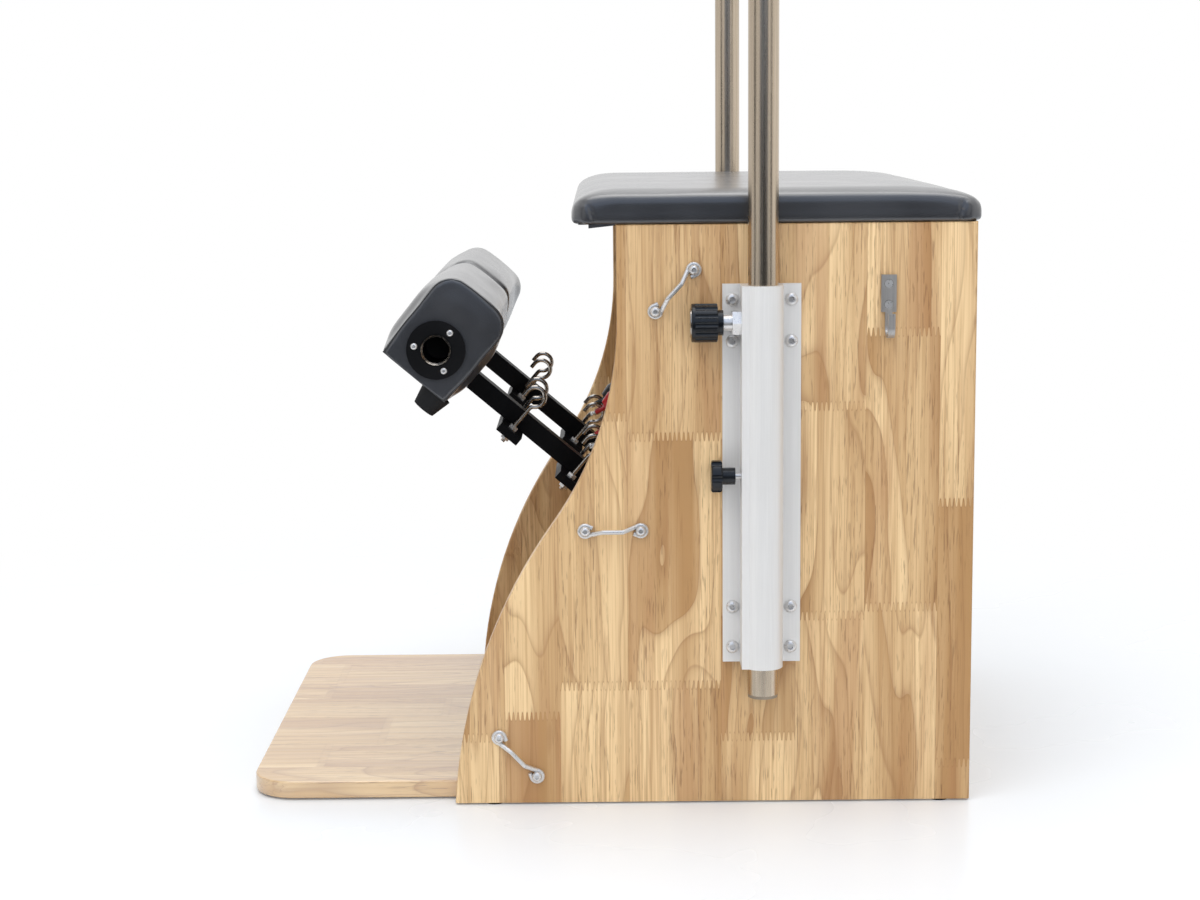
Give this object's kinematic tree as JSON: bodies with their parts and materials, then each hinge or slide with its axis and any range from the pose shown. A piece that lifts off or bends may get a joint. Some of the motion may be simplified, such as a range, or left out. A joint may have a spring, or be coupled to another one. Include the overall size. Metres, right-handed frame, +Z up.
{
  "type": "pilates chair",
  "caption": "Box-framed exercise chair with a padded seat, split spring-loaded foot pedals on swinging arms, and sliding push-up poles clamped to its sides.",
  "frame": {"origin": "centre of the bounding box's bottom face, on the floor", "axes": "+Z up, -Y to the pedals at the front, +X to the sitter's left"},
  "size_m": [0.662, 0.743, 1.152],
  "materials": {
    "wood": "clear lacquered finger-jointed hardwood",
    "vinyl": "charcoal vinyl, soft sheen",
    "black_board": "black covered board",
    "aluminium": "satin anodised",
    "polished_steel": "polished tube",
    "steel": "bright plated",
    "black_steel": "gloss black powder coat",
    "black_plastic": "moulded black",
    "red_plastic": "moulded red",
    "rubber": "matt black",
    "bronze": "plain bearing bronze"
  },
  "bodies": {
    "chair_frame": {"side_panel_left": "wood", "side_panel_right": "wood", "base_board": "wood", "front_rail": "wood", "rear_rail": "wood", "spring_rail": "wood", "rubber_feet": "rubber", "seat_board": "black_board", "seat_cushion": "vinyl", "pole_holder_left": "aluminium", "pole_holder_right": "aluminium", "holder_bolts": "steel", "plunger_barrels": "steel", "strap_eyes": "steel", "strap_eye_bolts": "steel", "hanging_hooks": "steel", "hanging_hook_screws": "steel", "pivot_axle": "steel", "axle_blocks": "black_steel", "axle_block_screws": "steel", "spring_anchors": "steel"},
    "left_pedal": {"pedal_arm_left": "black_steel", "pedal_bushes_left": "bronze", "spring_hooks_left": "steel", "hook_nuts_left": "steel", "pedal_board_left": "black_board", "pedal_cushion_left": "vinyl", "pedal_discs_left": "black_plastic", "pedal_disc_screws_left": "steel", "pedal_bumper_left": "rubber"},
    "left_pole": {"pole_left": "polished_steel", "pole_grip_left": "rubber", "pole_plug_left": "rubber"},
    "left_plunger": {"plunger_knob_left": "black_plastic", "plunger_pin_left": "steel"},
    "left_clamp": {"clamp_knob_left": "black_plastic", "clamp_stud_left": "steel"},
    "left_spring_tops": {"spring_upper_ends_left": "black_plastic", "springs_left": "steel"},
    "left_spring_feet": {"spring_lower_ends_left": "red_plastic"},
    "right_pedal": {"pedal_arm_right": "black_steel", "pedal_bushes_right": "bronze", "spring_hooks_right": "steel", "hook_nuts_right": "steel", "pedal_board_right": "black_board", "pedal_cushion_right": "vinyl", "pedal_discs_right": "black_plastic", "pedal_disc_screws_right": "steel", "pedal_bumper_right": "rubber"},
    "right_pole": {"pole_right": "polished_steel", "pole_grip_right": "rubber", "pole_plug_right": "rubber"},
    "right_plunger": {"plunger_knob_right": "black_plastic", "plunger_pin_right": "steel"},
    "right_clamp": {"clamp_knob_right": "black_plastic", "clamp_stud_right": "steel"},
    "right_spring_tops": {"spring_upper_ends_right": "black_plastic", "springs_right": "steel"},
    "right_spring_feet": {"spring_lower_ends_right": "red_plastic"}
  },
  "joints": [
    {"name": "pedal_left_press", "type": "hinge", "parent": "chair_frame", "child": "left_pedal", "pos_m": [0.125, 0.3012, 0.044], "axis": [1, 0, 0], "range_deg": [0, 38.4], "stiffness_Nm_per_rad": 60, "springref_deg": -34.38},
    {"name": "pole_left_slide", "type": "slide", "parent": "chair_frame", "child": "left_pole", "axis": [0, 0, 1], "range_m": [-0.1, 0.25]},
    {"name": "plunger_left_push", "type": "slide", "parent": "chair_frame", "child": "left_plunger", "axis": [0, 1, 0], "range_m": [0, 0.008]},
    {"name": "clamp_left_turn", "type": "hinge", "parent": "chair_frame", "child": "left_clamp", "pos_m": [0.311, 0.1339, 0.3438], "axis": [0, -1, 0], "range_deg": [0, 360]},
    {"name": "springs_left_swing", "type": "hinge", "parent": "chair_frame", "child": "left_spring_tops", "pos_m": [0.125, 0.32203, 0.54387], "axis": [1, 0, 0], "range_deg": [0, 14.9]},
    {"name": "springs_left_stretch", "type": "slide", "parent": "left_spring_tops", "child": "left_spring_feet", "axis": [0, -0.8682, -0.4963], "range_m": [0, 0.2612], "deforming": ["springs_left"]},
    {"name": "pedal_right_press", "type": "hinge", "parent": "chair_frame", "child": "right_pedal", "pos_m": [-0.125, 0.3012, 0.044], "axis": [1, 0, 0], "range_deg": [0, 38.4], "stiffness_Nm_per_rad": 60, "springref_deg": -34.38},
    {"name": "pole_right_slide", "type": "slide", "parent": "chair_frame", "child": "right_pole", "axis": [0, 0, 1], "range_m": [-0.1, 0.25]},
    {"name": "plunger_right_push", "type": "slide", "parent": "chair_frame", "child": "right_plunger", "axis": [0, 1, 0], "range_m": [0, 0.008]},
    {"name": "clamp_right_turn", "type": "hinge", "parent": "chair_frame", "child": "right_clamp", "pos_m": [-0.311, 0.1339, 0.3438], "axis": [0, -1, 0], "range_deg": [0, 360]},
    {"name": "springs_right_swing", "type": "hinge", "parent": "chair_frame", "child": "right_spring_tops", "pos_m": [-0.125, 0.32203, 0.54387], "axis": [1, 0, 0], "range_deg": [0, 14.9]},
    {"name": "springs_right_stretch", "type": "slide", "parent": "right_spring_tops", "child": "right_spring_feet", "axis": [0, -0.8682, -0.4963], "range_m": [0, 0.2612], "deforming": ["springs_right"]}
  ],
  "couplings": [
    {"joint": "springs_left_swing", "follows": "pedal_left_press", "ratio": 0.38034},
    {"joint": "springs_left_stretch", "follows": "pedal_left_press", "m_per_rad": 0.38677},
    {"joint": "springs_right_swing", "follows": "pedal_right_press", "ratio": 0.38034},
    {"joint": "springs_right_stretch", "follows": "pedal_right_press", "m_per_rad": 0.38677}
  ]
}
